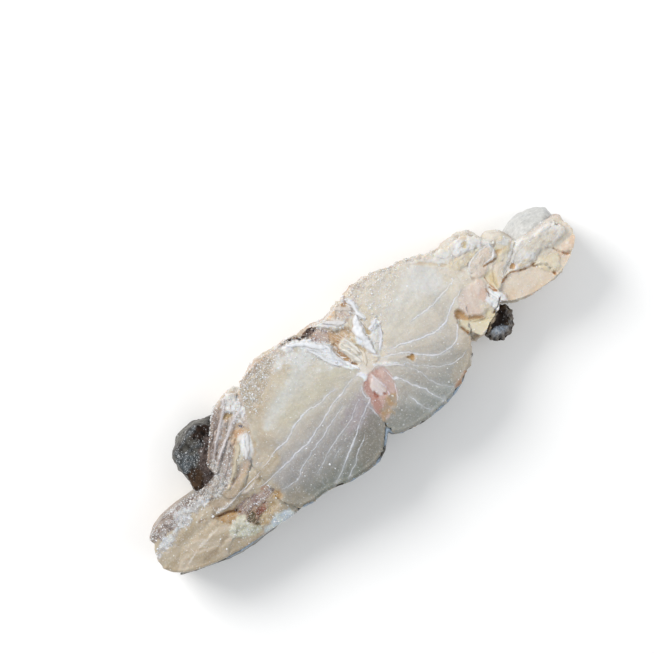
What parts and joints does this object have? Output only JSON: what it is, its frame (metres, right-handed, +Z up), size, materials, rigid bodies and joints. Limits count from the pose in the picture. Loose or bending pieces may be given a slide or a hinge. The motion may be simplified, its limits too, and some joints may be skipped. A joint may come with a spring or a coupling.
{
  "type": "cod neck fillet",
  "caption": "Slab of raw white fish cut across the shoulders, with two thick lobes of flaked muscle, folded collar flaps and skin on the back.",
  "frame": {"origin": "centre of the bounding box, at the face the slab lies on", "axes": "+Z up out of the cut face, +X along the slab from the left collar to the right collar, -Y towards the skinned back"},
  "size_m": [0.252, 0.0756, 0.0412],
  "materials": {
    "flesh": "pale translucent raw cod flesh, slightly moist, with white seams between the flakes and a dusting of frost",
    "dark_skin": "wet, mottled, dark grey-brown fish skin with frost on it",
    "pale_skin": "wet, smooth, grey fish skin with faint spots",
    "fin": "wet, nearly black, wrinkled fin skin over rays"
  },
  "bodies": {
    "root": {"flesh": "flesh", "back_skin": "dark_skin", "left_skin": "dark_skin", "right_skin": "pale_skin", "fin": "fin"}
  },
  "joints": []
}
